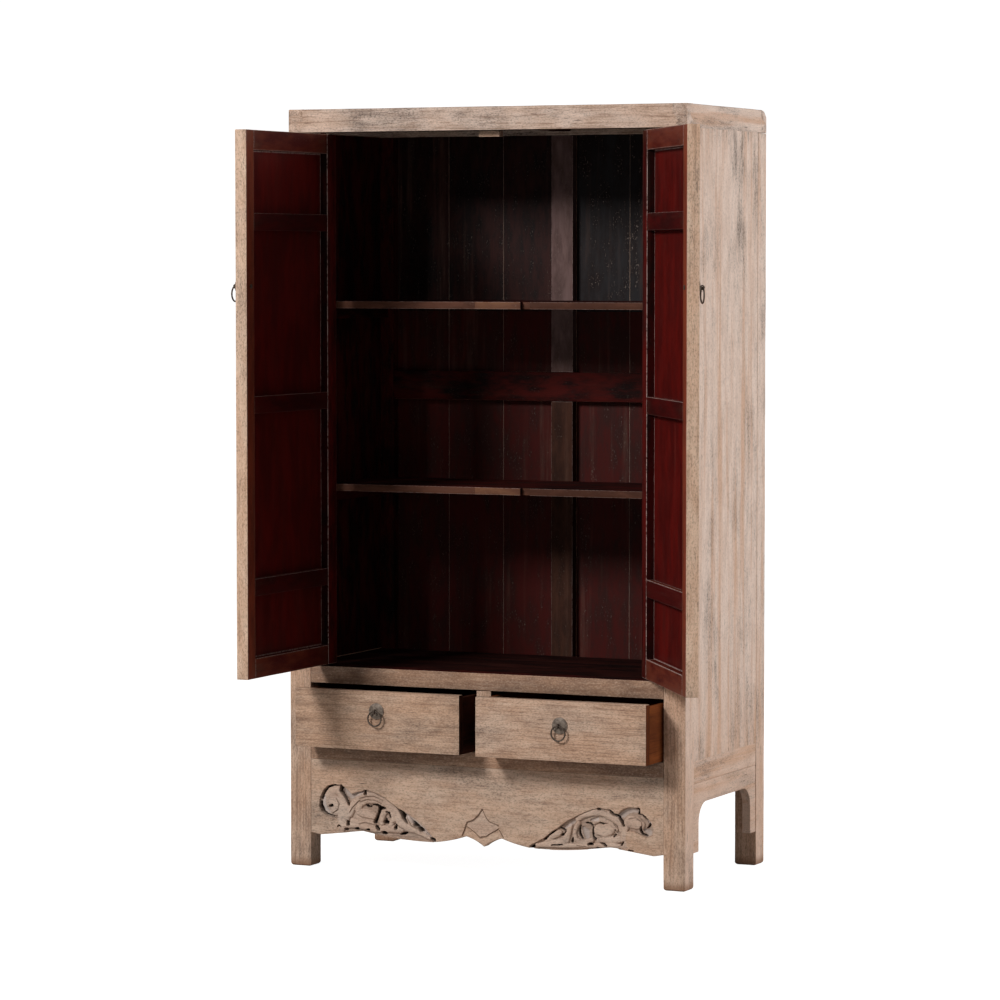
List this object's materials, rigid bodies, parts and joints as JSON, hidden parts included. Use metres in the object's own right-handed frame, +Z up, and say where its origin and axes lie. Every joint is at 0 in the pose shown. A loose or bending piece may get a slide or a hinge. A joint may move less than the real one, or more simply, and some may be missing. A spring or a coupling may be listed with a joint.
{
  "type": "cabinet",
  "caption": "Tall free-standing wooden cabinet with pivot-hung doors over drawers, shelves inside, iron ring pulls and a carved apron between the legs.",
  "frame": {"origin": "on the floor, midway between the four legs", "axes": "+Z up, +X to the right as seen from the front, +Y to the back"},
  "size_m": [1.122, 0.862, 1.7],
  "materials": {
    "bleached_elm": "stripped and bleached, open grain, dry",
    "red_lacquer": "old dark red lacquer, worn at the edges",
    "dark_lacquer": "old brown-black lacquer, scuffed",
    "drawer_wood": "brown stained, dry",
    "dark_iron": "dark, dull, worn"
  },
  "bodies": {
    "carcass": {"back_left_post": "bleached_elm", "back_lower_rail": "bleached_elm", "back_middle_rail": "dark_lacquer", "back_muntins": "dark_lacquer", "back_panels": "dark_lacquer", "back_right_post": "bleached_elm", "door_sill": "bleached_elm", "door_stop": "bleached_elm", "drawer_divider": "bleached_elm", "drawer_runners": "drawer_wood", "floor_boards": "dark_lacquer", "front_apron": "bleached_elm", "front_left_post": "bleached_elm", "front_right_post": "bleached_elm", "left_side_apron": "bleached_elm", "left_side_boards": "bleached_elm", "lower_rail": "bleached_elm", "lower_shelf": "dark_lacquer", "right_side_apron": "bleached_elm", "right_side_boards": "bleached_elm", "side_bearers": "dark_lacquer", "side_lower_rails": "bleached_elm", "top_back_rail": "bleached_elm", "top_batten": "bleached_elm", "top_boards": "bleached_elm", "top_front_rail": "bleached_elm", "top_side_rails": "bleached_elm", "upper_shelf": "dark_lacquer"},
    "left_door": {"left_door_battens": "red_lacquer", "left_door_hinge_stile": "bleached_elm", "left_door_meeting_stile": "bleached_elm", "left_door_panel": "red_lacquer", "left_door_pull_plate": "dark_iron", "left_door_pull_staple": "dark_iron", "left_door_rails": "bleached_elm"},
    "right_door": {"right_door_battens": "red_lacquer", "right_door_hinge_stile": "bleached_elm", "right_door_meeting_stile": "bleached_elm", "right_door_panel": "red_lacquer", "right_door_pull_plate": "dark_iron", "right_door_pull_staple": "dark_iron", "right_door_rails": "bleached_elm"},
    "left_drawer": {"left_drawer_back": "drawer_wood", "left_drawer_bottom": "drawer_wood", "left_drawer_front": "bleached_elm", "left_drawer_pull_plate": "dark_iron", "left_drawer_pull_staple": "dark_iron", "left_drawer_sides": "drawer_wood"},
    "right_drawer": {"right_drawer_back": "drawer_wood", "right_drawer_bottom": "drawer_wood", "right_drawer_front": "bleached_elm", "right_drawer_pull_plate": "dark_iron", "right_drawer_pull_staple": "dark_iron", "right_drawer_sides": "drawer_wood"},
    "left_door_ring": {"left_door_pull_ring": "dark_iron"},
    "right_door_ring": {"right_door_pull_ring": "dark_iron"},
    "left_drawer_ring": {"left_drawer_pull_ring": "dark_iron"},
    "right_drawer_ring": {"right_drawer_pull_ring": "dark_iron"}
  },
  "joints": [
    {"name": "left_door_swing", "type": "hinge", "parent": "carcass", "child": "left_door", "pos_m": [-0.398, -0.2275, 1], "axis": [0, 0, -1], "range_deg": [-90, 50]},
    {"name": "right_door_swing", "type": "hinge", "parent": "carcass", "child": "right_door", "pos_m": [0.398, -0.2275, 1], "axis": [0, 0, 1], "range_deg": [-125, 15]},
    {"name": "left_drawer_slide", "type": "slide", "parent": "carcass", "child": "left_drawer", "axis": [0, -1, 0], "range_m": [-0.082, 0.218]},
    {"name": "right_drawer_slide", "type": "slide", "parent": "carcass", "child": "right_drawer", "axis": [0, -1, 0], "range_m": [-0.09, 0.21]},
    {"name": "left_door_ring_swing", "type": "hinge", "parent": "left_door", "child": "left_door_ring", "pos_m": [-0.4176, -0.6055, 1.308], "axis": [0, 1, 0], "range_deg": [0, 100]},
    {"name": "right_door_ring_swing", "type": "hinge", "parent": "right_door", "child": "right_door_ring", "pos_m": [0.63087, -0.5259, 1.308], "axis": [0.5736, -0.8192, 0], "range_deg": [0, 100]},
    {"name": "left_drawer_ring_swing", "type": "hinge", "parent": "left_drawer", "child": "left_drawer_ring", "pos_m": [-0.223, -0.3291, 0.3695], "axis": [-1, 0, 0], "range_deg": [0, 100]},
    {"name": "right_drawer_ring_swing", "type": "hinge", "parent": "right_drawer", "child": "right_drawer_ring", "pos_m": [0.223, -0.3371, 0.3595], "axis": [-1, 0, 0], "range_deg": [0, 100]}
  ]
}
